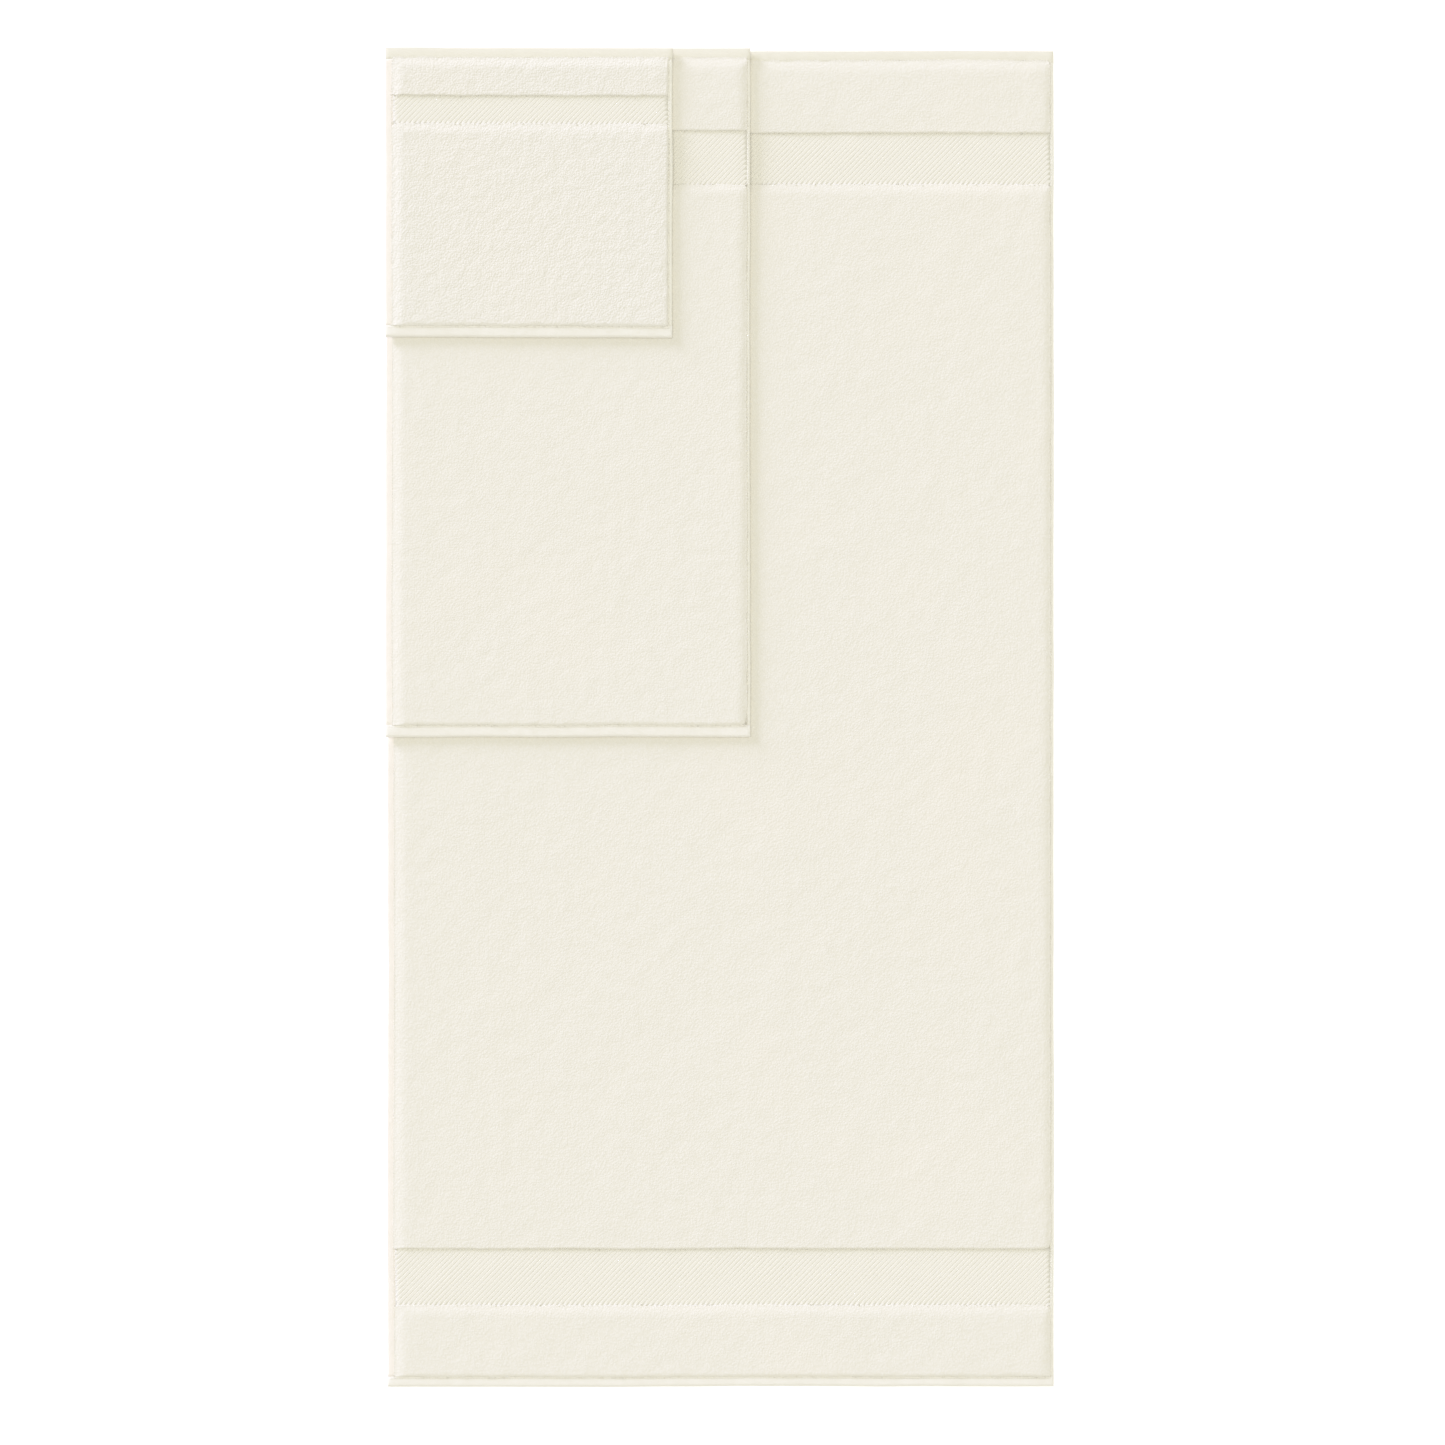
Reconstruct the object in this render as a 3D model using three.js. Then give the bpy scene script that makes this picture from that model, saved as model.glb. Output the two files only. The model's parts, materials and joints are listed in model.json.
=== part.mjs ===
// A bath towel set: a bath towel, a hand towel and a washcloth, laid flat in one stack that is
// nearly flush at the head end and the left side.
//
// Units are millimetres. +X points to the right side of the set, +Y to its head end and +Z up. The
// origin is on the surface that the set lies on, under the middle of its outline.
//
// Every towel is one terry cloth. A ground cloth runs from hem to hem and carries pile on both
// faces. The pile stops at each decorative band, where twill floats lie on the ground cloth. All
// four edges are turned into hems, and a sewing thread runs along the inner edge of each hem. The
// bath towel and the hand towel also fold up near their foot end, so each is made of two panels
// that meet at the fold line.

import * as THREE from 'three';

// Clearance between neighbouring pieces.
const GAP = 0.3;

// Thickness of each layer of the cloth, from its back to its face.
const BACK_PILE = 2.4;
const GROUND = 1.0;
const FACE_PILE = 3.2;
const BAND_FLOATS = 1.0;

// Heights above the underside of a towel.
const GROUND_Z = BACK_PILE + GAP;
const FACE_Z = GROUND_Z + GROUND + GAP;
const CLOTH_THICKNESS = FACE_Z + FACE_PILE;

// A hem is cloth folded over twice, and its edges are round.
const HEM_THICKNESS = 4.8;
const HEM_ROUND = 1.8;

// Each sewing thread lies in a groove between a hem and the pile.
const THREAD_RADIUS = 0.45;
const GROOVE = 2.0;

// The edge of a pile panel is soft: round corners in plan, and a round shoulder.
const PILE_CORNER = 5;
const SHOULDER = 0.8;
const SHOULDER_STEPS = 2;
const ARC_STEPS = 3;

// The upper towels reach a little past the head edge and the left edge of the bath towel.
const HEAD_OVERHANG = 2;
const SIDE_OVERHANG = 1.5;

// The fold line of a towel is foldFromFoot above its foot edge. A folded foot panel lies between
// the fold line and the foot edge of the towel above.
const BATH = {
  name: 'bath',
  width: 700,
  length: 1404,
  leftHem: 9,
  rightHem: 4,
  headHem: 12.5,
  headStrip: 73.4,
  headBand: 55.1,
  footBand: 60.5,
  footStrip: 74,
  footHem: 11,
  foldFromFoot: 330,
};
const HAND = {
  name: 'hand',
  width: 383,
  length: 723,
  leftHem: 9,
  rightHem: 4,
  headHem: 12.5,
  headStrip: 73.5,
  headBand: 58,
  footBand: 0,
  footStrip: 0,
  footHem: 13,
  foldFromFoot: 200,
};
const WASH = {
  name: 'wash',
  width: 301,
  length: 304,
  leftHem: 9,
  rightHem: 5,
  headHem: 12.5,
  headStrip: 37.4,
  headBand: 30.6,
  footBand: 0,
  footStrip: 0,
  footHem: 12.5,
  foldFromFoot: 0,
};

const BATH_LEFT_X = SIDE_OVERHANG / 2 - BATH.width / 2;
const UPPER_LEFT_X = BATH_LEFT_X - SIDE_OVERHANG;
const BATH_HEAD_Y = BATH.length / 2 - HEAD_OVERHANG / 2;
const UPPER_HEAD_Y = BATH_HEAD_Y + HEAD_OVERHANG;
const STACK_STEP = CLOTH_THICKNESS + GAP;

// Undyed ivory cotton, a little paler where the cloth is flat.
const LOOKS = {
  pile: { color: 0xf0ece0, roughness: 0.97, metalness: 0 },
  ground: { color: 0xece7d9, roughness: 0.92, metalness: 0 },
  band: { color: 0xf1eddf, roughness: 0.85, metalness: 0 },
  hem: { color: 0xf3efe2, roughness: 0.88, metalness: 0 },
  thread: { color: 0xe6e0cd, roughness: 0.7, metalness: 0 },
};

const set = new THREE.Group();

function addPiece(name, look, geometry, x, y, z) {
  const mesh = new THREE.Mesh(geometry, new THREE.MeshStandardMaterial(LOOKS[look]));
  mesh.name = name;
  mesh.position.set(x, y, z);
  set.add(mesh);
}

function roundedRectangle(width, height, radius) {
  const x = width / 2 - radius;
  const y = height / 2 - radius;
  const quarter = Math.PI / 2;
  const shape = new THREE.Shape();
  shape.absarc(x, y, radius, 0, quarter);
  shape.absarc(-x, y, radius, quarter, 2 * quarter);
  shape.absarc(-x, -y, radius, 2 * quarter, 3 * quarter);
  shape.absarc(x, -y, radius, 3 * quarter, 4 * quarter);
  return shape;
}

// A pile panel: a low cushion with a round shoulder all the way round.
function pileGeometry(width, length, thickness) {
  const outline = roundedRectangle(width - 2 * SHOULDER, length - 2 * SHOULDER, PILE_CORNER);
  const geometry = new THREE.ExtrudeGeometry(outline, {
    depth: thickness - 2 * SHOULDER,
    bevelThickness: SHOULDER,
    bevelSize: SHOULDER,
    bevelSegments: SHOULDER_STEPS,
    curveSegments: ARC_STEPS,
  });
  return geometry.center();
}

// A bar of the given section. It runs along Y, or along X where across is true.
function barGeometry(section, length, across) {
  const geometry = new THREE.ExtrudeGeometry(section, {
    depth: length,
    bevelEnabled: false,
    curveSegments: ARC_STEPS,
  });
  geometry.center();
  geometry.rotateX(Math.PI / 2);
  return across ? geometry.rotateZ(Math.PI / 2) : geometry;
}

function hemGeometry(width, length, across) {
  return barGeometry(roundedRectangle(width, HEM_THICKNESS, HEM_ROUND), length, across);
}

function threadGeometry(length, across) {
  const section = new THREE.Shape();
  section.absarc(0, 0, THREAD_RADIUS, 0, 2 * Math.PI);
  return barGeometry(section, length, across);
}

// The places that all the pieces of one towel are worked out from.
function placesOf(towel, leftX, headY, baseZ) {
  const rightX = leftX + towel.width;
  const clothLeft = leftX + towel.leftHem;
  const clothRight = rightX - towel.rightHem;
  return {
    baseZ,
    leftX,
    rightX,
    middleX: (leftX + rightX) / 2,
    clothMiddleX: (clothLeft + clothRight) / 2,
    clothWidth: clothRight - clothLeft - 2 * GAP,
    pileWidth: clothRight - clothLeft - 2 * GROOVE,
    headY,
    footY: headY - towel.length,
    foldY: headY - towel.length + towel.foldFromFoot,
  };
}

// Pile on both faces of the cloth, between two heights on the Y axis.
function addTerry(name, places, topY, bottomY) {
  const length = topY - bottomY;
  const middleY = (topY + bottomY) / 2;
  const faceZ = places.baseZ + FACE_Z + FACE_PILE / 2;
  const backZ = places.baseZ + BACK_PILE / 2;
  const face = pileGeometry(places.pileWidth, length, FACE_PILE);
  const back = pileGeometry(places.pileWidth, length, BACK_PILE);
  addPiece(`${name}_face_pile`, 'pile', face, places.clothMiddleX, middleY, faceZ);
  addPiece(`${name}_back_pile`, 'pile', back, places.clothMiddleX, middleY, backZ);
}

function addBand(name, places, topY, bottomY) {
  const geometry = new THREE.BoxGeometry(places.pileWidth, topY - bottomY, BAND_FLOATS);
  const z = places.baseZ + FACE_Z + BAND_FLOATS / 2;
  addPiece(`${name}_band`, 'band', geometry, places.clothMiddleX, (topY + bottomY) / 2, z);
}

function addGround(name, places, topY, bottomY) {
  const geometry = new THREE.BoxGeometry(places.clothWidth, topY - bottomY, GROUND);
  const z = places.baseZ + GROUND_Z + GROUND / 2;
  addPiece(`${name}_ground_cloth`, 'ground', geometry, places.clothMiddleX, (topY + bottomY) / 2, z);
}

// An end hem over the towel's whole width. inward is -1 at the head end and 1 at the foot end.
function addEndHem(name, towel, places, edgeY, hem, inward) {
  const hemZ = places.baseZ + HEM_THICKNESS / 2;
  const hemY = edgeY + (inward * hem) / 2;
  addPiece(`${name}_hem`, 'hem', hemGeometry(hem, towel.width, true), places.middleX, hemY, hemZ);
  const thread = threadGeometry(places.pileWidth, true);
  const threadY = edgeY + inward * (hem + GROOVE / 2);
  const threadZ = places.baseZ + FACE_Z + THREAD_RADIUS;
  addPiece(`${name}_hem_thread`, 'thread', thread, places.clothMiddleX, threadY, threadZ);
}

function addSideHem(name, places, topY, bottomY, edgeX, hem, inward) {
  const length = topY - bottomY;
  const middleY = (topY + bottomY) / 2;
  const hemX = edgeX + (inward * hem) / 2;
  const hemZ = places.baseZ + HEM_THICKNESS / 2;
  addPiece(`${name}_hem`, 'hem', hemGeometry(hem, length, false), hemX, middleY, hemZ);
  const thread = threadGeometry(length, false);
  const threadX = edgeX + inward * (hem + GROOVE / 2);
  const threadZ = places.baseZ + FACE_Z + THREAD_RADIUS;
  addPiece(`${name}_hem_thread`, 'thread', thread, threadX, middleY, threadZ);
}

function addSideHems(name, towel, places, topY, bottomY) {
  addSideHem(`${name}_left`, places, topY, bottomY, places.leftX, towel.leftHem, 1);
  addSideHem(`${name}_right`, places, topY, bottomY, places.rightX, towel.rightHem, -1);
}

// The head end of a towel, down to endY: hem, narrow terry strip, band, and the main terry.
function addHeadPanel(towel, places, endY) {
  const hemY = places.headY - towel.headHem;
  const stripY = places.headY - towel.headHem - towel.headStrip;
  const bandY = stripY - towel.headBand;
  addEndHem(`${towel.name}_head`, towel, places, places.headY, towel.headHem, -1);
  addTerry(`${towel.name}_head_strip`, places, hemY - GROOVE, stripY);
  addBand(`${towel.name}_head`, places, stripY - GAP, bandY + GAP);
  addTerry(`${towel.name}_main`, places, bandY, endY);
  return hemY - GAP;
}

// The foot end of a towel, up to startY: main terry, a band and a strip on the bath towel, hem.
function addFootPanel(towel, places, startY, panel) {
  const hemY = places.footY + towel.footHem;
  addEndHem(`${towel.name}_foot`, towel, places, places.footY, towel.footHem, 1);
  if (towel.footBand === 0) {
    addTerry(`${towel.name}_${panel}`, places, startY, hemY + GROOVE);
    return hemY + GAP;
  }
  const stripY = hemY + towel.footStrip;
  const bandY = stripY + towel.footBand;
  addTerry(`${towel.name}_${panel}`, places, startY, bandY);
  addBand(`${towel.name}_foot`, places, bandY - GAP, stripY + GAP);
  addTerry(`${towel.name}_foot_strip`, places, stripY, hemY + GROOVE);
  return hemY + GAP;
}

// A towel of two panels that meet at its fold line.
function addFoldingTowel(towel, leftX, headY, baseZ) {
  const places = placesOf(towel, leftX, headY, baseZ);
  const above = places.foldY + GAP / 2;
  const below = places.foldY - GAP / 2;
  const clothTop = addHeadPanel(towel, places, above);
  addGround(towel.name, places, clothTop, above);
  addSideHems(towel.name, towel, places, clothTop, above);
  const clothBottom = addFootPanel(towel, places, below, 'fold');
  addGround(`${towel.name}_fold`, places, below, clothBottom);
  addSideHems(`${towel.name}_fold`, towel, places, below, clothBottom);
}

// A towel of one panel. Its main terry runs from the head band to the foot hem.
function addPlainTowel(towel, leftX, headY, baseZ) {
  const places = placesOf(towel, leftX, headY, baseZ);
  const hemY = places.footY + towel.footHem;
  const clothTop = addHeadPanel(towel, places, hemY + GROOVE);
  addEndHem(`${towel.name}_foot`, towel, places, places.footY, towel.footHem, 1);
  addGround(towel.name, places, clothTop, hemY + GAP);
  addSideHems(towel.name, towel, places, clothTop, hemY + GAP);
}

addFoldingTowel(BATH, BATH_LEFT_X, BATH_HEAD_Y, 0);
addFoldingTowel(HAND, UPPER_LEFT_X, UPPER_HEAD_Y, STACK_STEP);
addPlainTowel(WASH, UPPER_LEFT_X, UPPER_HEAD_Y, 2 * STACK_STEP);

export default set;
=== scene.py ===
import json
import math

import bpy
import numpy as np
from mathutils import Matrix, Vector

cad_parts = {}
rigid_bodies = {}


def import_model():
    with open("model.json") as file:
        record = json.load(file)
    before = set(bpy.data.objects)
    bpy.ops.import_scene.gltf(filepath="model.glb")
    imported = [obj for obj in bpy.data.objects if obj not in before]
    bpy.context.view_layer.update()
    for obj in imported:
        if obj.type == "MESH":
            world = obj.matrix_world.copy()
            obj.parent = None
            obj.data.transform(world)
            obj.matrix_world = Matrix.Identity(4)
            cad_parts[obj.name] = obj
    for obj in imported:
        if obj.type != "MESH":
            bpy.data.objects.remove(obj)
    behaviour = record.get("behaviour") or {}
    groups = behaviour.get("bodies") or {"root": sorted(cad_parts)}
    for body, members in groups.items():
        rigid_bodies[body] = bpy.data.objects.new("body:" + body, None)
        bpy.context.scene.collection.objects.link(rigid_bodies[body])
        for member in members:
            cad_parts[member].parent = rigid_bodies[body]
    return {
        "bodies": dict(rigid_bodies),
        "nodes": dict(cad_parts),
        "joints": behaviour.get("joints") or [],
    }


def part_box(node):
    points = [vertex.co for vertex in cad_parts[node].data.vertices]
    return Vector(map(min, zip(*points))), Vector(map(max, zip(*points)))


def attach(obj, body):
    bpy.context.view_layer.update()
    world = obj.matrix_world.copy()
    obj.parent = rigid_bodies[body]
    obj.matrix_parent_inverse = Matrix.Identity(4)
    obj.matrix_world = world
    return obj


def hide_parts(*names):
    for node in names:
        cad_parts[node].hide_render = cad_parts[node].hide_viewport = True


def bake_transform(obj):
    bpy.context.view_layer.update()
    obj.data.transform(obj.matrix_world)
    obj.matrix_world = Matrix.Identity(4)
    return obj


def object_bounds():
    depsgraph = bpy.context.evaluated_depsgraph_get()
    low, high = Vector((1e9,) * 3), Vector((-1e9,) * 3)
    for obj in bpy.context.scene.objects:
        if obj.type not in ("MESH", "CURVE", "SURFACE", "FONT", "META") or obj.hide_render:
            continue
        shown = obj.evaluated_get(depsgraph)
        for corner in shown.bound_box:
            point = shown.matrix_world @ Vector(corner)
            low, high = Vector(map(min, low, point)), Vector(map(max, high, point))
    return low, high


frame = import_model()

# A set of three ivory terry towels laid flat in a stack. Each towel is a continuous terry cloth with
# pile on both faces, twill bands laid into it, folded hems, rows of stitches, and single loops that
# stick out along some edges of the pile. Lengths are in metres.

MM = 0.001
cad_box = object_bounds()

# Heights above the underside of a towel.
HEM_LOW = 0.15 * MM
HEM_TOP = 4.6 * MM
GROUND_LOW = 1.9 * MM
GROUND_TOP = 2.9 * MM
PILE_TOP = 6.5 * MM
BACK_PILE_LOW = 0.25 * MM
BAND_TOP = 4.9 * MM
RIB_RISE = 0.25 * MM

# Plan sizes.
LIT_TUCK = 2.6 * MM
SHADED_TUCK = 0.8 * MM
BAND_OVERLAP = 0.6 * MM
RIB_PITCH = 5.3 * MM    # along the band
RIB_LEAN = 0.97    # how far a rib goes right for each unit towards the head end
RIB_HALF_WIDTH = 0.44    # as a share of the pitch
FOLD_LENGTH = 12.0 * MM
UPRIGHT_EDGE = (2.6 * MM, 1.0 * MM)    # height of a hem's nose, and how far in its top begins
LOW_EDGE = (1.5 * MM, 3.0 * MM)
END_ROUND = 0.8 * MM
SLOT_POINTS = 6    # how many of a hem outline's points lie round its slot
HEM_REACH = 0.55    # the cloth's edge lies this share of a hem's width in from its outer edge
EDGE_OFFSETS = (-0.5, 0.0, 0.3, 0.8, 1.4, 2.2, 3.2, 4.6)

# How the pile ends at its edges: the share of its height at which it starts, the width over which
# it rises from there, and how round that rise is, from 0, a gentle slope, to 1, a quarter circle.
AT_LIT_HEM = (0.50, 12.0 * MM, 0.0)
AT_FOOT_HEM = (0.72, 3.2 * MM, 0.3)
AT_RIGHT_HEM = (0.64, 6.5 * MM, 0.15)
AT_DEEP_HEM = (0.42, 2.4 * MM, 0.9)
OVER_BAND = (0.52, 1.7 * MM, 0.8)
AFTER_BAND = (0.58, 10.0 * MM, 0.2)
EDGE_POWER = 5    # how square the pile's corners are

# The edges of the upper towels settle towards the towel below over this distance.
DROOP_REACH = 16.0 * MM

# How far the cloth wanders in plan, over long and over short distances.
LONG_WANDER = 0.5 * MM
SHORT_WANDER = 0.35 * MM

# Lock stitches.
STITCH_PITCH = 2.9 * MM
STITCH_LENGTH = 2.4 * MM
STITCH_RADIUS = 0.24 * MM
STITCH_INSET = 2.3 * MM

# Single loops along the pile's edges.
LOOP_SPACING = 1.7 * MM
LOOP_RADIUS = 0.42 * MM
LOOP_HALF_WIDTH = 0.8 * MM
LOOP_HEIGHT = 1.9 * MM


def lattice(seed, cells=64):
    """A square of random numbers from -1 to 1 that repeats in both directions."""
    return np.random.default_rng(seed).uniform(-1, 1, (cells, cells))


def soft_noise(x, y, cell, seed):
    """Smooth noise from -1 to 1 over the plane, with bumps about one cell across."""
    table = lattice(seed)
    u, v = np.asarray(x) / cell + 31.7, np.asarray(y) / cell + 17.3
    i, j = np.floor(u).astype(int), np.floor(v).astype(int)
    s, t = u - i, v - j
    s, t = s * s * (3 - 2 * s), t * t * (3 - 2 * t)
    n = len(table)

    def at(a, b):
        return table[(i + a) % n, (j + b) % n]

    low = at(0, 0) * (1 - s) + at(1, 0) * s
    high = at(0, 1) * (1 - s) + at(1, 1) * s
    return low * (1 - t) + high * t


def smooth_step(t):
    t = np.clip(t, 0, 1)
    return t * t * (3 - 2 * t)


# ---------------------------------------------------------------- towels, worked out from the frame


class Area:
    """One area of pile: its four limits, and how the pile ends at each of them."""

    def __init__(self, left, right, foot, head, styles):
        self.left, self.right, self.foot, self.head = left, right, foot, head
        self.styles = styles
        self.corner = 0.0

    def cover(self, x, y, ragged):
        """0 outside the area, 1 at full height, and a round shoulder between."""
        depths = [x - self.left, self.right - x, y - self.foot, self.head - y]
        nearness = [np.clip(1 - (d + ragged) / style[1], 0, 9) for d, style in zip(depths, self.styles)]
        if self.corner:
            beyond = [np.maximum(self.corner - depths[k] - ragged, 0) for k in (1, 2)]
            cut = self.corner - np.hypot(*beyond)
            at_corner = np.clip(1 - cut / self.styles[2][1], 0, 9)
            nearness.append(np.where(np.minimum(*beyond) > 0, at_corner, 0))
        rise = 1 - sum(n ** EDGE_POWER for n in nearness) ** (1 / EDGE_POWER)
        weights = [n ** EDGE_POWER + 1e-9 for n in nearness[:4]]
        start = sum(w * style[0] for w, style in zip(weights, self.styles)) / sum(weights)
        roundness = sum(w * style[2] for w, style in zip(weights, self.styles)) / sum(weights)
        quarter_circle = np.sqrt(1 - (1 - np.clip(rise, 0, 1)) ** 2)
        slope = smooth_step(rise)
        return np.where(rise > 0, start + (1 - start) * (slope + roundness * (quarter_circle - slope)), 0)


class Towel:
    """One towel's places: outline, hems, pile areas, bands and fold line."""

    def __init__(self, name, key, cell, grain, droop, corner, right_style, seed):
        self.name, self.key, self.cell, self.grain = name, key, cell, grain
        self.droop, self.corner, self.right_style, self.seed = droop, corner, right_style, seed
        head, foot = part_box(f"{key}_head_hem"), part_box(f"{key}_foot_hem")
        self.left, self.right = head[0].x, head[1].x
        self.head, self.foot = head[1].y, foot[0].y
        self.head_hem = head[1].y - head[0].y
        self.foot_hem = foot[1].y - foot[0].y
        sides = [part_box(f"{key}_{side}_hem") for side in ("left", "right")]
        self.left_hem, self.right_hem = (b[1].x - b[0].x for b in sides)
        self.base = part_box(f"{key}_main_back_pile")[0].z
        nodes = frame["nodes"]
        self.fold_body = name + "_fold" if name + "_fold" in frame["bodies"] else None
        self.fold_y = None
        for joint in frame["joints"]:
            if joint["child"] == self.fold_body:
                self.fold_y = joint["pos_m"][1]
        self.bands = [end for end in ("head", "foot") if f"{key}_{end}_band" in nodes]
        self.piles = self.pile_areas()

    def band_limits(self, end):
        """The foot and head limits of a band."""
        low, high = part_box(f"{self.key}_{end}_band")
        return low.y, high.y

    def pile_areas(self):
        """The pile areas from head to foot. Each runs from hem to hem, and ends at a hem or a band."""
        left = self.left + self.left_hem - LIT_TUCK
        right = self.right - self.right_hem + SHADED_TUCK
        head, foot = self.head - self.head_hem + LIT_TUCK, self.foot + self.foot_hem - SHADED_TUCK
        areas, start, style = [], head, AT_LIT_HEM
        for end in self.bands:
            low, high = self.band_limits(end)
            styles = (AT_LIT_HEM, self.right_style, OVER_BAND, style)
            areas.append(Area(left, right, high - BAND_OVERLAP, start, styles))
            start, style = low + BAND_OVERLAP, AFTER_BAND
        styles = (AT_LIT_HEM, self.right_style, AT_FOOT_HEM, style)
        areas.append(Area(left, right, foot, start, styles))
        areas[-1 if len(self.bands) == 1 else 1].corner = self.corner
        return areas

    def shaped(self, verts):
        """Moves flat-laid points a little: the cloth wanders in plan, and its edges droop."""
        x, y, z = verts.T
        wander_x = LONG_WANDER * soft_noise(x, y, 0.21, self.seed)
        wander_x += SHORT_WANDER * soft_noise(x, y, 0.06, self.seed + 1)
        wander_y = LONG_WANDER * soft_noise(x, y, 0.19, self.seed + 2)
        wander_y += SHORT_WANDER * soft_noise(x, y, 0.07, self.seed + 3)
        edge = np.min([x - self.left, self.right - x, self.head - y, y - self.foot], axis=0)
        fall = self.droop * smooth_step(1 - edge / DROOP_REACH)
        return np.stack([x + wander_x, y + wander_y, z - fall], -1)


TOWELS = [
    Towel("bath_towel", "bath", 4.4 * MM, 1.0, 0.0, 8.0 * MM, AT_RIGHT_HEM, 11),
    Towel("hand_towel", "hand", 3.6 * MM, 1.05, 0.6 * MM, 5.0 * MM, AT_RIGHT_HEM, 23),
    Towel("washcloth", "wash", 2.4 * MM, 1.9, 0.6 * MM, 4.0 * MM, AT_DEEP_HEM, 37),
]


# ---------------------------------------------------------------- mesh helpers


def make_piece(name, verts, quads, material, rest=None):
    """A smooth mesh object of quads. Its rest attribute keeps where each point lies at rest."""
    mesh = bpy.data.meshes.new(name)
    mesh.vertices.add(len(verts))
    mesh.vertices.foreach_set("co", np.ascontiguousarray(verts, np.float32).ravel())
    mesh.loops.add(quads.size)
    mesh.loops.foreach_set("vertex_index", np.ascontiguousarray(quads, np.int32).ravel())
    mesh.polygons.add(len(quads))
    mesh.polygons.foreach_set("loop_start", np.arange(0, quads.size, 4, dtype=np.int32))
    mesh.polygons.foreach_set("use_smooth", np.ones(len(quads), bool))
    mesh.update(calc_edges=True)
    kept = mesh.attributes.new("rest", "FLOAT_VECTOR", "POINT")
    source = verts if rest is None else rest
    kept.data.foreach_set("vector", np.ascontiguousarray(source, np.float32).ravel())
    piece = bpy.data.objects.new(name, mesh)
    bpy.context.scene.collection.objects.link(piece)
    mesh.materials.append(material)
    return piece


def closed_slab(xs, ys, top, low):
    """Points and quads of a closed slab over the grid xs by ys, between two height maps."""
    nx, ny = len(xs), len(ys)
    gx, gy = np.meshgrid(xs, ys, indexing="ij")
    layers = [np.stack([gx, gy, z], -1).reshape(-1, 3) for z in (top, low)]
    index = np.arange(nx * ny).reshape(nx, ny)
    corners = (index[:-1, :-1], index[1:, :-1], index[1:, 1:], index[:-1, 1:])
    up = np.stack(corners, -1).reshape(-1, 4)
    down = up[:, ::-1] + nx * ny
    ring = np.concatenate([index[:-1, 0], index[-1, :-1], index[:0:-1, -1], index[0, :0:-1]])
    after = np.roll(ring, -1)
    walls = np.stack([ring + nx * ny, after + nx * ny, after, ring], -1)
    return np.concatenate(layers), np.concatenate([up, down, walls])


def swept(profile, stations, place):
    """A closed tube: the profile's points repeated at each station, placed by place(t, z, s)."""
    n, m = len(profile), len(stations)
    t = np.tile(profile[:, 0], (m, 1))
    z = np.tile(profile[:, 1], (m, 1))
    s = np.repeat(stations[:, None], n, 1)
    verts = place(t, z, s).reshape(-1, 3)
    index = np.arange(n * m).reshape(m, n)
    after = np.roll(index, -1, 1)
    sides = np.stack([index[:-1], after[:-1], after[1:], index[1:]], -1).reshape(-1, 4)
    return verts, sides


def copies(template, quads, origins, yaws, leans, scales):
    """Many copies of a small shape, each turned about Z, leant over and scaled."""
    shapes = template[None] * scales[:, None, None]
    c, s = np.cos(yaws)[:, None], np.sin(yaws)[:, None]
    x, y, z = shapes[..., 0], shapes[..., 1] + leans[:, None] * shapes[..., 2], shapes[..., 2]
    turned = np.stack([x * c - y * s, x * s + y * c, z], -1) + origins[:, None]
    steps = (np.arange(len(origins)) * len(template))[:, None, None]
    return turned.reshape(-1, 3), (quads[None] + steps).reshape(-1, 4)


def tube_template(points, radii):
    """A four-sided closed tube along points in the XZ plane."""
    points = np.array(points, float)
    along = np.gradient(points, axis=0)
    along /= np.linalg.norm(along, axis=1)[:, None]
    rings = []
    for p, d, r in zip(points, along, radii):
        side = np.array([0.0, 1.0, 0.0])
        up = np.cross(d, side)
        rings += [p + r * (side * a + up * b) for a, b in ((1, 0), (0, 1), (-1, 0), (0, -1))]
    n = len(points)
    quads = [[4 * i + k, 4 * i + (k + 1) % 4, 4 * i + 4 + (k + 1) % 4, 4 * i + 4 + k]
             for i in range(n - 1) for k in range(4)]
    last = 4 * (n - 1)
    quads += [[3, 2, 1, 0], [last, last + 1, last + 2, last + 3]]
    return np.array(rings), np.array(quads)


# ---------------------------------------------------------------- materials


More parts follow.
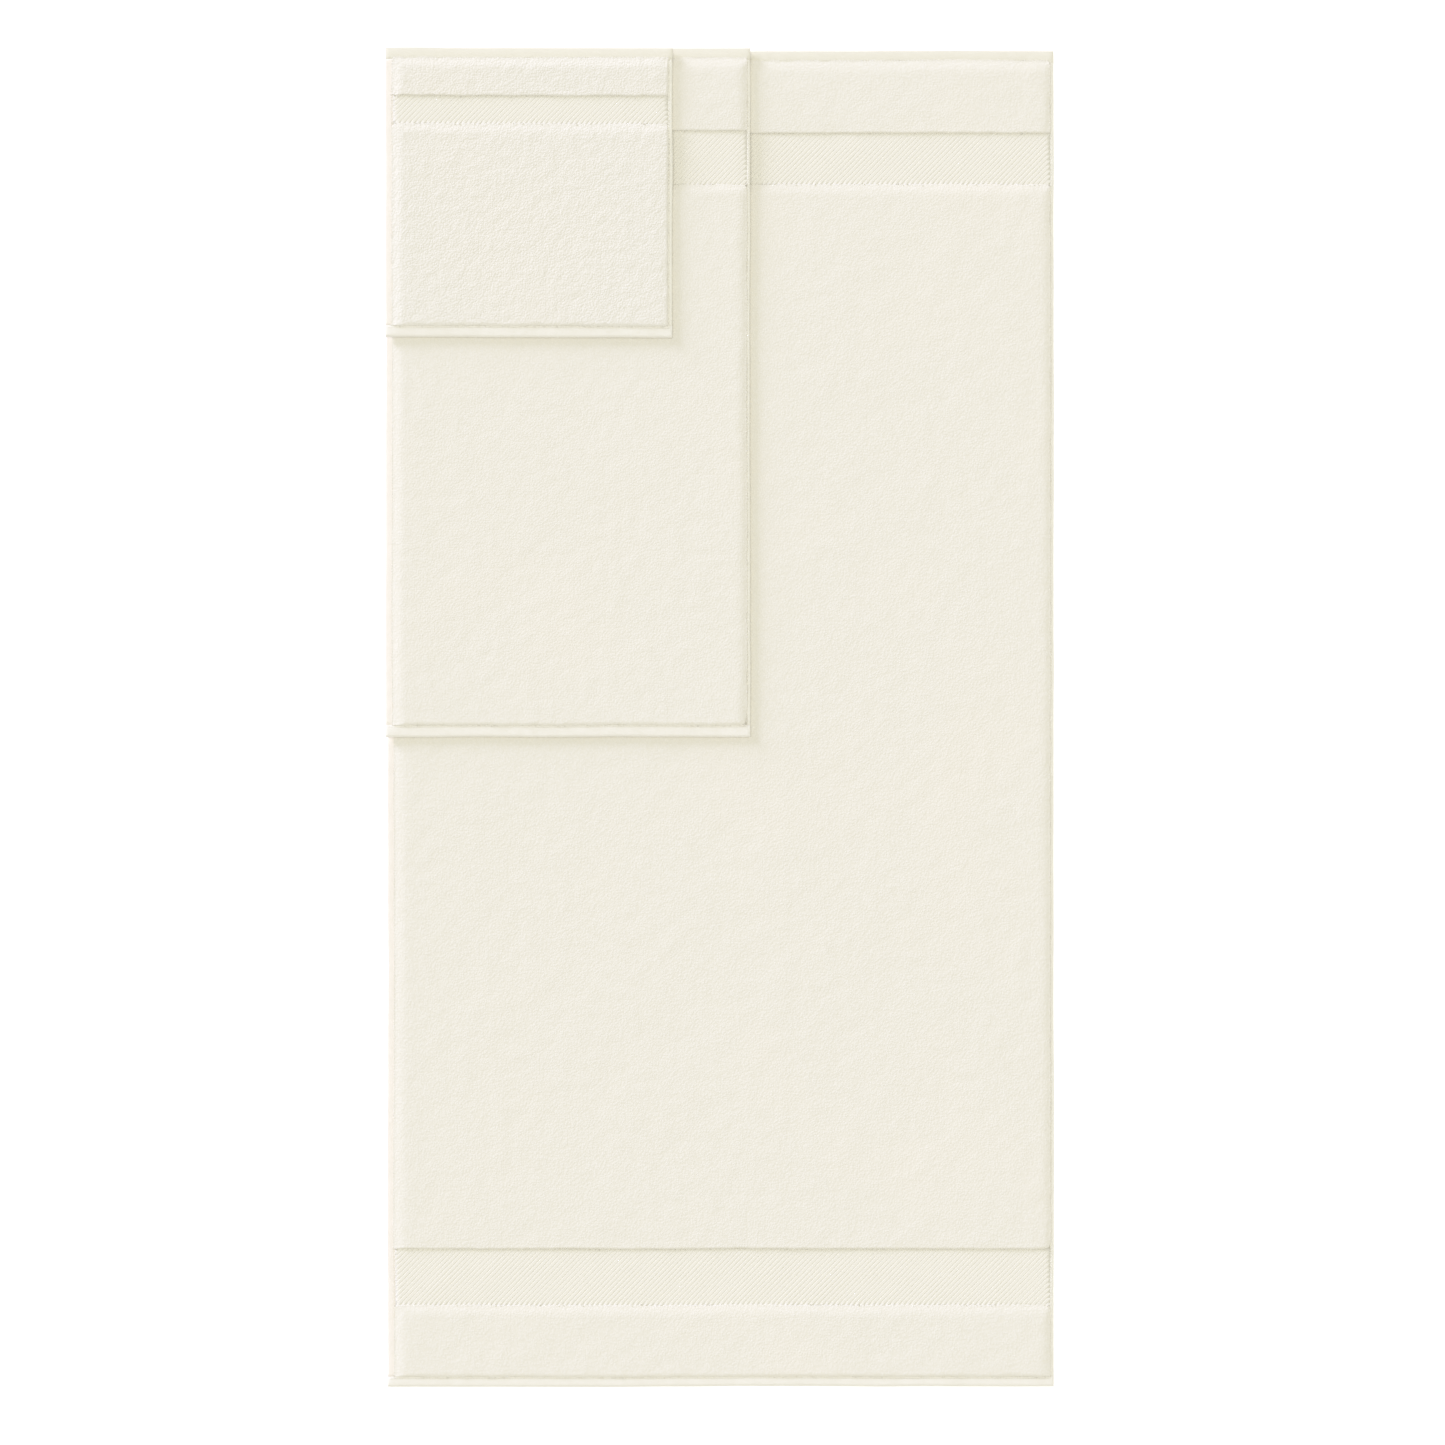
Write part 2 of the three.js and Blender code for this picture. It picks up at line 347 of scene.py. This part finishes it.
class Nodes:
    """Short calls for building one material's node tree."""

    def __init__(self, name, roughness, sheen, sheen_roughness=0.5):
        self.material = bpy.data.materials.new(name)
        self.material.use_nodes = True
        self.tree = self.material.node_tree
        self.shader = self.tree.nodes["Principled BSDF"]
        self.shader.inputs["Roughness"].default_value = roughness
        self.shader.inputs["Specular IOR Level"].default_value = 0.25
        self.shader.inputs["Sheen Weight"].default_value = sheen
        self.shader.inputs["Sheen Roughness"].default_value = sheen_roughness

    def add(self, kind, settings=None, **inputs):
        node = self.tree.nodes.new("ShaderNode" + kind)
        for key, value in (settings or {}).items():
            setattr(node, key, value)
        for key, value in inputs.items():
            socket = node.inputs[int(key[1:])] if key[0] == "_" else node.inputs[key.replace("_", " ")]
            if isinstance(value, bpy.types.NodeSocket):
                self.tree.links.new(value, socket)
            else:
                socket.default_value = value
        return node

    def rest(self):
        return self.add("Attribute", {"attribute_name": "rest"}).outputs["Vector"]

    def math(self, operation, a, b=0.0, c=0.0):
        return self.add("Math", {"operation": operation}, _0=a, _1=b, _2=c).outputs[0]

    def along(self, vector, x, y):
        """The phase x times X plus y times Y."""
        node = self.add("VectorMath", {"operation": "DOT_PRODUCT"}, _0=vector, _1=(x, y, 0.0))
        return node.outputs["Value"]

    def noise(self, vector, scale, detail=2.0, roughness=0.5):
        node = self.add("TexNoise", Vector=vector, Scale=scale, Detail=detail, Roughness=roughness)
        return node.outputs["Fac"]

    def ramp(self, value, low, high, out_low=0.0, out_high=1.0):
        node = self.add("MapRange", _0=value, _1=low, _2=high, _3=out_low, _4=out_high)
        return node.outputs[0]

    def mix(self, factor, a, b):
        node = self.add("Mix", {"data_type": "RGBA"}, Factor=factor)
        for socket, value in ((node.inputs[6], a), (node.inputs[7], b)):
            if isinstance(value, bpy.types.NodeSocket):
                self.tree.links.new(value, socket)
            else:
                socket.default_value = (*value, 1.0)
        return node.outputs[2]

    def finish(self, colour, height, distance, strength):
        bump = self.add("Bump", Strength=strength, Distance=distance, Height=height)
        self.tree.links.new(bump.outputs[0], self.shader.inputs["Normal"])
        self.tree.links.new(colour, self.shader.inputs["Base Color"])
        return self.material


IVORY_PALE = (0.845, 0.815, 0.744)
# A darker, yellower ivory: painted shade between the loops and between the ribs, and tone that differs at
# random on the hems and thread.
IVORY_SHADE_AND_TONE = (0.780, 0.740, 0.620)
IVORY_WARM = (0.849, 0.805, 0.717)
IVORY_BRIGHT = (0.842, 0.812, 0.725)


LOOPS_PER_METRE = 430.0
LOOP_JITTER = 0.0016
PILE_BUMP = 0.9 * MM
PILE_BUMP_STRENGTH = 0.26
GRAIN_POWER = 1.4
RIB_SHADE = 0.20    # painted shade: how far the grooves between the ribs go towards the darker ivory


def terry_material(name, grain):
    """Looped pile: each loop is a small round bump, with painted shade, darker and yellower, down between
    the loops.
    """
    n = Nodes(name, roughness=0.95, sheen=0.12)
    rest = n.rest()
    wobble = n.add("TexNoise", Vector=rest, Scale=260.0, Detail=1.0).outputs["Color"]
    jitter = (LOOP_JITTER,) * 3
    shift = n.add("VectorMath", {"operation": "MULTIPLY_ADD"}, _0=wobble, _1=jitter, _2=rest)
    loops = n.add("TexVoronoi", Vector=shift.outputs[0], Scale=LOOPS_PER_METRE, Randomness=0.9)
    bumps = n.ramp(loops.outputs["Distance"], 0.05, 0.75, 1.0, 0.0)
    clumps = n.noise(rest, 190.0, 2.0)
    fibres = n.noise(rest, 2600.0, 2.0, 0.6)
    height = n.math("MULTIPLY_ADD", clumps, 0.9, bumps)
    height = n.math("MULTIPLY_ADD", fibres, 0.3, height)
    # Painted shade: darker and yellower down between the loops and in the hollows of the clumps.
    depth = n.math("MULTIPLY_ADD", clumps, 0.8, n.math("MULTIPLY", bumps, 0.6))
    colour = n.mix(n.ramp(depth, 0.35, 1.0, 0.60 - 0.18 * grain, 0.0), IVORY_PALE, IVORY_SHADE_AND_TONE)
    patches = n.noise(rest, 5.5, 2.0)
    colour = n.mix(n.ramp(patches, 0.5, 0.75, 0.0, 0.5), colour, IVORY_WARM)
    return n.finish(colour, height, PILE_BUMP * grain ** GRAIN_POWER, PILE_BUMP_STRENGTH)


def twill_material(name):
    """The flat band: fine twisted yarns, with painted shade in the grooves between the diagonal ribs."""
    n = Nodes(name, roughness=0.8, sheen=0.05)
    rest = n.rest()
    turns = 2 * math.pi / RIB_PITCH
    rib = n.math("COSINE", n.along(rest, turns, -turns * RIB_LEAN))
    yarn = n.math("COSINE", n.along(rest, turns * 4 * RIB_LEAN, turns * 4))
    uneven = n.noise(rest, 120.0, 3.0)
    height = n.math("MULTIPLY_ADD", yarn, 0.35, rib)
    height = n.math("MULTIPLY_ADD", uneven, 0.8, height)
    # Painted shade in the grooves between the ribs.
    shade = n.ramp(rib, -1.0, 0.4, RIB_SHADE, 0.0)
    colour = n.mix(shade, IVORY_BRIGHT, IVORY_SHADE_AND_TONE)
    return n.finish(colour, height, 0.22 * MM, 0.3)


def plain_material(name, pale, pitch):
    """Plain weave: crossing yarns, as on the hems."""
    n = Nodes(name, roughness=0.85, sheen=0.06)
    rest = n.rest()
    turns = 2 * math.pi / pitch
    across = n.math("COSINE", n.along(rest, turns, 0.0))
    along = n.math("COSINE", n.along(rest, 0.0, turns))
    weave = n.math("MULTIPLY", across, along)
    uneven = n.noise(rest, 70.0, 3.0)
    height = n.math("MULTIPLY_ADD", uneven, 2.2, n.math("MULTIPLY", weave, 0.5))
    colour = n.mix(n.ramp(uneven, 0.35, 0.7, 0.16, 0.0), pale, IVORY_SHADE_AND_TONE)
    return n.finish(colour, height, 0.3 * MM, 0.5)


def thread_material():
    """Twisted sewing thread."""
    n = Nodes("sewing_thread", roughness=0.6, sheen=0.05)
    rest = n.rest()
    twist = n.noise(rest, 1800.0, 1.0)
    colour = n.mix(n.ramp(twist, 0.3, 0.7, 0.35, 0.0), (0.86, 0.83, 0.75), IVORY_SHADE_AND_TONE)
    return n.finish(colour, twist, 0.1 * MM, 0.5)


# ---------------------------------------------------------------- cloth


def grid_lines(low, high, cell, edges):
    """Grid lines from low to high: about a cell apart, and closer round each edge of the pile.
    edges are pairs of a place and the direction, 1 or -1, in which the pile begins."""
    lines = [low, high]
    for place, inward in edges:
        lines += [place + inward * step * MM for step in EDGE_OFFSETS]
    lines = sorted(v for v in set(lines) if low <= v <= high)
    filled = []
    for a, b in zip(lines[:-1], lines[1:]):
        count = max(1, round((b - a) / cell))
        filled += list(np.linspace(a, b, count, endpoint=False))
    filled.append(lines[-1])
    return np.array(filled)


def with_fold_lines(lines, towel):
    """Adds close rows across the cloth at the towel's fold line."""
    if towel.fold_y is None:
        return lines
    rows = towel.fold_y + np.arange(2 * MM, -FOLD_LENGTH - 2 * MM, -1 * MM)
    kept = lines[(lines > rows[0] + 0.5 * MM) | (lines < rows[-1] - 0.5 * MM)]
    return np.sort(np.concatenate([kept, rows]))


def pile_cover(towel, x, y, seed):
    """0 where there is no pile, 1 where it stands at full height."""
    ragged = 0.40 * MM * soft_noise(x, y, 4.5 * MM, seed) + 0.35 * MM * soft_noise(x, y, 16 * MM, seed + 1)
    return np.max([area.cover(x, y, ragged) for area in towel.piles], axis=0)


def pile_relief(towel, x, y, seed):
    """Unevenness of the pile's surface: soft hollows, clumps of loops and single rows."""
    soft = 0.18 * MM * soft_noise(x, y, 55 * MM, seed)
    clumps = 0.12 * MM * soft_noise(x, y, 13 * MM, seed + 1)
    loops = 0.17 * MM * min(towel.grain, 1.5) * soft_noise(x, y, 2.1 * towel.cell, seed + 2)
    return soft + clumps + loops


def make_cloth(towel, material):
    """The terry cloth of one towel in one closed sheet, from hem to hem."""
    x_edges = [(towel.piles[0].left, 1), (towel.piles[0].right, -1)]
    y_edges = [(a.foot, 1) for a in towel.piles] + [(a.head, -1) for a in towel.piles]
    left, right = towel.left + HEM_REACH * towel.left_hem, towel.right - HEM_REACH * towel.right_hem
    foot, head = towel.foot + HEM_REACH * towel.foot_hem, towel.head - HEM_REACH * towel.head_hem
    xs = grid_lines(left, right, towel.cell, x_edges)
    ys = with_fold_lines(grid_lines(foot, head, towel.cell, y_edges), towel)
    x, y = np.meshgrid(xs, ys, indexing="ij")
    face = pile_cover(towel, x, y, towel.seed + 5)
    back = pile_cover(towel, x, y, towel.seed + 6)
    top = GROUND_TOP + face * (PILE_TOP - GROUND_TOP + pile_relief(towel, x, y, towel.seed + 7))
    hollows = np.minimum(pile_relief(towel, x, y, towel.seed + 9), 0.2 * MM)
    low = GROUND_LOW - back * (GROUND_LOW - BACK_PILE_LOW + hollows)
    verts, quads = closed_slab(xs, ys, top + towel.base, low + towel.base)
    return make_piece(f"{towel.name}_terry", towel.shaped(verts), quads, material, verts)


def rib_strips(low, high, left, right, base, seed):
    """Low rounded ribs side by side, each leaning to the right on its way to the head end."""
    first = math.ceil((left - RIB_LEAN * high) / RIB_PITCH)
    last = math.floor((right - RIB_LEAN * low) / RIB_PITCH)
    shift = np.arange(first, last + 1) * RIB_PITCH
    start = np.clip((left - shift) / RIB_LEAN, low, high)
    stop = np.clip((right - shift) / RIB_LEAN, low, high)
    kept = stop - start > 2 * MM
    shift, start, stop = shift[kept], start[kept], stop[kept]
    angles = np.linspace(-0.25, math.pi + 0.25, 8)
    section = np.stack([-RIB_HALF_WIDTH * RIB_PITCH * np.cos(angles), RIB_RISE * np.sin(angles)], -1)
    steps = max(4, round((high - low) / (4 * MM)))
    share = np.linspace(0, 1, steps + 1)[None, :, None]
    y = start[:, None, None] + share * (stop - start)[:, None, None]
    centre = shift[:, None, None] + RIB_LEAN * y
    ends = np.clip(np.minimum(share, 1 - share) * 12, 0.5, 1)
    uneven = 1 + 0.3 * soft_noise(centre, y, 17 * MM, seed) + 0.2 * soft_noise(centre, y, 4 * MM, seed + 1)
    x = centre + section[None, None, :, 0] * ends
    z = base + section[None, None, :, 1] * ends * uneven
    verts = np.stack([x, y + 0 * x, z], -1)
    ribs, rows, ring = x.shape
    index = np.arange(ribs * rows * ring).reshape(ribs, rows, ring)
    after = np.roll(index, -1, 2)
    sides = np.stack([index[:, :-1], after[:, :-1], after[:, 1:], index[:, 1:]], -1).reshape(-1, 4)
    caps = []
    for row, order in ((0, 1), (-1, -1)):
        for k in range(ring // 2 - 1):
            quad = [index[:, row, i] for i in (k, k + 1, ring - 2 - k, ring - 1 - k)]
            caps.append(np.stack(quad[::order], -1))
    return verts.reshape(-1, 3), np.concatenate([sides[:, ::-1]] + [c[:, ::-1] for c in caps])


def make_band(towel, end, material):
    """A twill band: a thin closed strip in the gap between two pile areas, with diagonal ribs."""
    low, high = towel.band_limits(end)
    low, high = low - 0.6 * MM, high + 0.6 * MM
    left = towel.left + towel.left_hem - 0.5 * MM
    right = towel.right - towel.right_hem + 0.5 * MM
    xs = np.linspace(left, right, round((right - left) / (6 * MM)) + 1)
    ys = np.linspace(low, high, round((high - low) / (5 * MM)) + 1)
    x, y = np.meshgrid(xs, ys, indexing="ij")
    top = np.full_like(x, towel.base + BAND_TOP - RIB_RISE)
    bottom = np.full_like(x, towel.base + GROUND_TOP - 0.2 * MM)
    verts, quads = closed_slab(xs, ys, top, bottom)
    ribs, rib_quads = rib_strips(low, high, left + 0.3 * MM, right - 0.3 * MM, top[0, 0], towel.seed + 12)
    quads = np.concatenate([quads, rib_quads + len(verts)])
    verts = np.concatenate([verts, ribs])
    swell = 0.10 * MM * soft_noise(verts[:, 0], verts[:, 1], 24 * MM, towel.seed + 13)
    flat = verts.copy()
    verts[:, 2] += swell
    return make_piece(f"{towel.name}_{end}_band", towel.shaped(verts), quads, material, flat)


# ---------------------------------------------------------------- hems and stitches


def hem_profile(width, nose, over):
    """Outline of a folded hem, as points (distance in from the outer edge, height). Its outer edge
    is round, furthest out at the nose's height and rising from there over the last stretch. The
    cloth runs into the slot on its inner side."""
    nose, over, under = HEM_LOW + nose, min(over, 0.35 * width), 1.3 * MM
    slot_low, slot_top = GROUND_LOW - 0.15 * MM, GROUND_TOP + 0.15 * MM
    depth = 0.4 * width
    outer = [(over * (1 - math.sin(a)), nose + (HEM_TOP - nose) * math.cos(a))
             for a in np.linspace(0, math.pi / 2, 5)]
    outer += [(under * (1 - math.sin(a)), nose + (nose - HEM_LOW) * math.cos(a))
              for a in np.linspace(math.pi / 2, math.pi, 4)[1:]]
    top = [(width - 0.3 * MM, HEM_TOP - 0.15 * MM), (width - 0.8 * MM, HEM_TOP), (width * 0.62, HEM_TOP)]
    low = [(width * 0.62, HEM_LOW), (width - 0.8 * MM, HEM_LOW), (width - 0.3 * MM, HEM_LOW + 0.1 * MM)]
    slot = [(width, slot_low - 0.3 * MM), (width - 0.2 * MM, slot_low), (width - depth, slot_low),
            (width - depth, slot_top), (width - 0.2 * MM, slot_top), (width, slot_top + 0.3 * MM)]
    return np.array(top + outer + low + slot)


def hem_side(towel, side):
    """Where a hem runs: its outer edge, inward direction, width and whether it lies along X."""
    return {
        "left": (towel.left, 1, towel.left_hem, False),
        "right": (towel.right, -1, towel.right_hem, False),
        "head": (towel.head, -1, towel.head_hem, True),
        "foot": (towel.foot, 1, towel.foot_hem, True),
    }[side]


def hem_run(towel, side, spacing):
    """Stations along a hem. The side hems stop at the end hems."""
    if side in ("head", "foot"):
        left, right = towel.left + END_ROUND, towel.right - END_ROUND
        inner = np.linspace(left, right, round((right - left) / spacing) + 1)
        near = 0.3 * END_ROUND
        return np.concatenate([[towel.left, towel.left + near], inner, [towel.right - near, towel.right]])
    low, high = towel.foot + towel.foot_hem - 1.5 * MM, towel.head - towel.head_hem + 1.5 * MM
    return with_fold_lines(np.linspace(low, high, round((high - low) / spacing) + 1), towel)


def make_hem(towel, side, material):
    edge, inward, width, along_x = hem_side(towel, side)
    stations = hem_run(towel, side, 3.5 * MM)
    profile = hem_profile(width, *(UPRIGHT_EDGE if side in ("left", "head") else LOW_EDGE))
    seed = towel.seed + 40 + len(side)
    middle = (HEM_LOW + HEM_TOP) / 2

    def place(t, z, s):
        pucker = 0.10 * MM * soft_noise(s, 0 * s, 7 * MM, seed)
        pucker += 0.12 * MM * soft_noise(s, t, 30 * MM, seed + 1)
        bulge = np.where(z > middle, 1, -0.4)
        to_end = np.clip(np.minimum(s - stations[0], stations[-1] - s) / END_ROUND, 0, 1)
        in_slot = np.arange(len(profile)) >= len(profile) - SLOT_POINTS
        t = np.where(in_slot & (to_end == 0), width, t)
        across = edge + inward * (t + 0.25 * MM * soft_noise(s, 0 * s, 40 * MM, seed + 2))
        full = 1 - 0.25 * (1 - to_end) ** 2
        height = towel.base + middle + (z - middle) * full + pucker * bulge
        return np.stack([s, across, height] if along_x else [across, s, height], -1)

    verts, quads = swept(profile, stations, place)
    if (inward < 0) != along_x:
        quads = quads[:, ::-1]
    quads = closed_ends(quads, len(verts), len(profile), (inward < 0) != along_x)
    return make_piece(f"{towel.name}_{side}_hem", towel.shaped(verts), quads, material, verts)


def closed_ends(quads, total, count, flipped):
    """Closes a swept tube of total points: each end profile, of count points, is paired across."""
    half = count // 2
    caps = []
    for start, turn in ((0, flipped), (total - count, not flipped)):
        for k in range(half - 1):
            a, b = start + k, start + k + 1
            c, d = start + count - 2 - k, start + count - 1 - k
            caps.append([a, b, c, d] if turn else [d, c, b, a])
    return np.concatenate([quads, np.array(caps)])


def make_stitches(towel, side, material):
    """A row of lock stitches near the inner edge of a hem, on both of its faces."""
    edge, inward, width, along_x = hem_side(towel, side)
    radius = STITCH_RADIUS
    inset = min(STITCH_INSET, 0.35 * width)
    run = hem_run(towel, side, STITCH_PITCH)
    run = run[(run > run[0] + 2 * MM) & (run < run[-1] - 2 * MM)]
    rng = np.random.default_rng(towel.seed + 60 + len(side))
    run = np.arange(run[0], run[-1], STITCH_PITCH)
    ends = STITCH_LENGTH / 2
    path = [(share * ends, 0, z * MM) for share, z in ((-1, -0.25), (-0.5, 0.06), (0.5, 0.06), (1, -0.25))]
    template, quads = tube_template(path, [0.6 * radius, radius, radius, 0.6 * radius])
    parts, faces = [], []
    for z, sign in ((HEM_TOP + 0.06 * MM, 1), (HEM_LOW + 0.02 * MM, -1)):
        across = np.full(len(run), edge + inward * (width - inset)) + rng.normal(0, 0.08 * MM, len(run))
        heights = np.full(len(run), towel.base + z)
        origins = np.stack([run, across, heights] if along_x else [across, run, heights], -1)
        yaws = (0 if along_x else math.pi / 2) + rng.normal(0, 0.07, len(run))
        shape = template * np.array([1, 1, sign])
        verts, tubes = copies(shape, quads if sign > 0 else quads[:, ::-1], origins, yaws,
                              np.zeros(len(run)), rng.uniform(0.9, 1.08, len(run)))
        faces.append(tubes + sum(len(p) for p in parts))
        parts.append(verts)
    verts = np.concatenate(parts)
    return make_piece(f"{towel.name}_{side}_stitches", towel.shaped(verts), np.concatenate(faces),
                      material, verts)


# ---------------------------------------------------------------- loops along the pile's edges


def edge_points(area, pitch):
    """Points along the limits of a pile area where its loops stick out, with the outward direction
    at each: the right and foot edges, and the head edge where it follows a band."""
    c = area.corner
    rights = np.arange(area.foot + c, area.head, pitch)
    feet = np.arange(area.left, area.right - c, pitch)
    runs = [
        (np.full(len(rights), area.right), rights, 0.0),
        (feet, np.full(len(feet), area.foot), -math.pi / 2),
    ]
    if area.styles[3] is AFTER_BAND:
        heads = np.arange(area.left, area.right, 3 * pitch)
        runs.append((heads, np.full(len(heads), area.head), math.pi / 2))
    points = [np.stack([px, py, np.full(len(px), a)], -1) for px, py, a in runs]
    if c:
        a = -np.arange(0, math.pi / 2, pitch / c)
        points.append(np.stack([area.right - c + c * np.cos(a), area.foot + c + c * np.sin(a), a], -1))
    return np.concatenate(points)


def make_edge_loops(towel, material):
    """Loops that lean out along the edges that edge_points gives, so that those edges look ragged."""
    where = np.concatenate([edge_points(a, LOOP_SPACING) for a in towel.piles])
    rng = np.random.default_rng(towel.seed + 80)
    count = len(where)
    out = where[:, 2]
    reach = rng.uniform(-1.6, -0.1, count) * MM
    origins = np.stack([
        where[:, 0] + np.cos(out) * reach + rng.normal(0, 0.3 * MM, count),
        where[:, 1] + np.sin(out) * reach + rng.normal(0, 0.3 * MM, count),
        towel.base + HEM_TOP - rng.uniform(0.9, 1.7, count) * MM,
    ], -1)
    angles = np.linspace(-0.25, math.pi + 0.25, 6)
    path = [(-LOOP_HALF_WIDTH * math.cos(a), 0, LOOP_HEIGHT * math.sin(a)) for a in angles]
    template, quads = tube_template(path, [LOOP_RADIUS] * len(path))
    yaws = out + math.pi / 2 + rng.normal(0, 0.5, count)
    leans = rng.uniform(-0.5, 0.0, count)
    verts, faces = copies(template, quads, origins, yaws, leans, rng.uniform(0.7, 1.15, count))
    return make_piece(f"{towel.name}_edge_loops", towel.shaped(verts), faces, material, verts)


# ---------------------------------------------------------------- one towel


def rides(piece, towel, crosses, at_foot):
    """Puts a piece on its body, or on the fold's body at the foot; a piece that crosses the towel's fold
    has its placement baked into its points instead.
    """
    if towel.fold_body is None:
        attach(piece, towel.name)
    elif crosses:
        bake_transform(piece)
    else:
        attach(piece, towel.fold_body if at_foot else towel.name)


def nodes_like(towel, *words):
    """The towel's nodes whose names end in one of these words."""
    return [n for n in frame["nodes"] if n.startswith(towel.key + "_") and n.endswith(words)]


def make_towel(towel):
    terry = terry_material(f"{towel.name}_terry_pile", towel.grain)
    cloth = make_cloth(towel, terry)
    rides(cloth, towel, True, False)
    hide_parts(*nodes_like(towel, "_pile", "_ground_cloth"))
    for end in ("head", "foot"):
        if f"{towel.key}_{end}_band" in frame["nodes"]:
            band = make_band(towel, end, MATERIALS["band"])
            rides(band, towel, False, end == "foot")
            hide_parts(f"{towel.key}_{end}_band")
    for side in ("head", "foot", "left", "right"):
        crosses = side in ("left", "right")
        hem = make_hem(towel, side, MATERIALS[f"{side}_hem"])
        stitches = make_stitches(towel, side, MATERIALS["thread"])
        for piece, word in ((hem, f"_{side}_hem"), (stitches, f"_{side}_hem_thread")):
            rides(piece, towel, crosses, side == "foot")
            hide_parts(*nodes_like(towel, word))
    loops = make_edge_loops(towel, terry)
    rides(loops, towel, True, False)
    return cloth


# ---------------------------------------------------------------- studio


FLOOR_HALF = 60.0
FLOOR_LINES = 25
FLOOR_RISE = 3.6
FLOOR_GLOW = 0.22


def make_floor():
    """A plain pale surface under the set, which rises gently far away."""
    half, count, rise = FLOOR_HALF, FLOOR_LINES, FLOOR_RISE
    steps = np.linspace(-half, half, count)
    x, y = np.meshgrid(steps, steps, indexing="ij")
    away = np.maximum(np.abs(x), np.abs(y)) / half
    z = rise * np.clip((away - 0.3) / 0.7, 0, 1) ** 2 - 0.3 * MM
    index = np.arange(count * count).reshape(count, count)
    quads = np.stack([index[:-1, :-1], index[1:, :-1], index[1:, 1:], index[:-1, 1:]], -1).reshape(-1, 4)
    mesh = bpy.data.meshes.new("floor")
    mesh.from_pydata(np.stack([x, y, z], -1).reshape(-1, 3).tolist(), [], quads.tolist())
    floor = bpy.data.objects.new("floor", mesh)
    bpy.context.scene.collection.objects.link(floor)
    material = bpy.data.materials.new("floor_white")
    material.use_nodes = True
    shader = material.node_tree.nodes["Principled BSDF"]
    shader.inputs["Base Color"].default_value = (0.93, 0.93, 0.93, 1.0)
    shader.inputs["Roughness"].default_value = 0.9
    shader.inputs["Specular IOR Level"].default_value = 0.1
    shader.inputs["Emission Color"].default_value = (1.0, 1.0, 1.0, 1.0)
    shader.inputs["Emission Strength"].default_value = FLOOR_GLOW
    mesh.materials.append(material)


KEY_COLOUR = (0.66, 0.68, 1.0)
ROOM_COLOUR = (0.981, 0.978, 0.908)
KEY = 2.6
OVERHEAD = 1.1
ALL_ROUND = 0.954    # what the overhead light and the surround give together
AZIMUTH = 135


def make_lights():
    """A soft low key light from the head end's left, a wide light overhead, and an even surround."""
    lamps = (    # name, colour, energy, width and elevation in degrees
        ("key", KEY_COLOUR, KEY, 20, 13),
        ("overhead", ROOM_COLOUR, OVERHEAD, 50, 90),
    )
    for name, colour, energy, angle, elevation in lamps:
        light = bpy.data.lights.new(name, "SUN")
        light.energy, light.angle, light.color = energy, math.radians(angle), colour
        lamp = bpy.data.objects.new(name, light)
        lamp.rotation_euler = (0, math.radians(90 - elevation), math.radians(AZIMUTH))
        bpy.context.scene.collection.objects.link(lamp)
    world = bpy.data.worlds.new("surround")
    world.use_nodes = True
    background = world.node_tree.nodes["Background"]
    background.inputs["Color"].default_value = (*ROOM_COLOUR, 1.0)
    background.inputs["Strength"].default_value = ALL_ROUND - OVERHEAD / math.pi
    bpy.context.scene.world = world


VIEW_HEIGHT = 1.0805    # as a share of the set's length
AIM = (2.8 * MM, -5.0 * MM)    # how far the view's middle is from the set's


def make_camera():
    """Straight above the set, far off with a long lens."""
    low, high = cad_box
    view_width = VIEW_HEIGHT * (high.y - low.y)
    data = bpy.data.cameras.new("camera")
    data.lens, data.sensor_width = 200.0, 36.0
    data.clip_end = 300.0
    distance = view_width * data.lens / data.sensor_width
    camera = bpy.data.objects.new("camera", data)
    camera.location = ((low.x + high.x) / 2 + AIM[0], (low.y + high.y) / 2 + AIM[1], distance)
    bpy.context.scene.collection.objects.link(camera)
    bpy.context.scene.camera = camera
    bpy.context.scene.view_settings.view_transform = "Standard"


MATERIALS = {
    "band": twill_material("twill_band"),
    # The hems share one plain weave with a colour for each side: painted shade, darker and yellower, on
    # the head hem, and painted light on the foot and right hems, which lie on the pile's shaded side.
    "head_hem": plain_material("head_hem_weave", (0.845, 0.812, 0.700), 1.1 * MM),
    "foot_hem": plain_material("foot_hem_weave", (0.925, 0.895, 0.830), 1.1 * MM),
    "left_hem": plain_material("left_hem_weave", (0.940, 0.880, 0.800), 0.9 * MM),
    "right_hem": plain_material("right_hem_weave", (0.940, 0.912, 0.830), 0.9 * MM),
    "thread": thread_material(),
}
make_camera()
make_lights()
make_floor()
resting_on = []
for one in TOWELS:
    resting_on = [make_towel(one)]
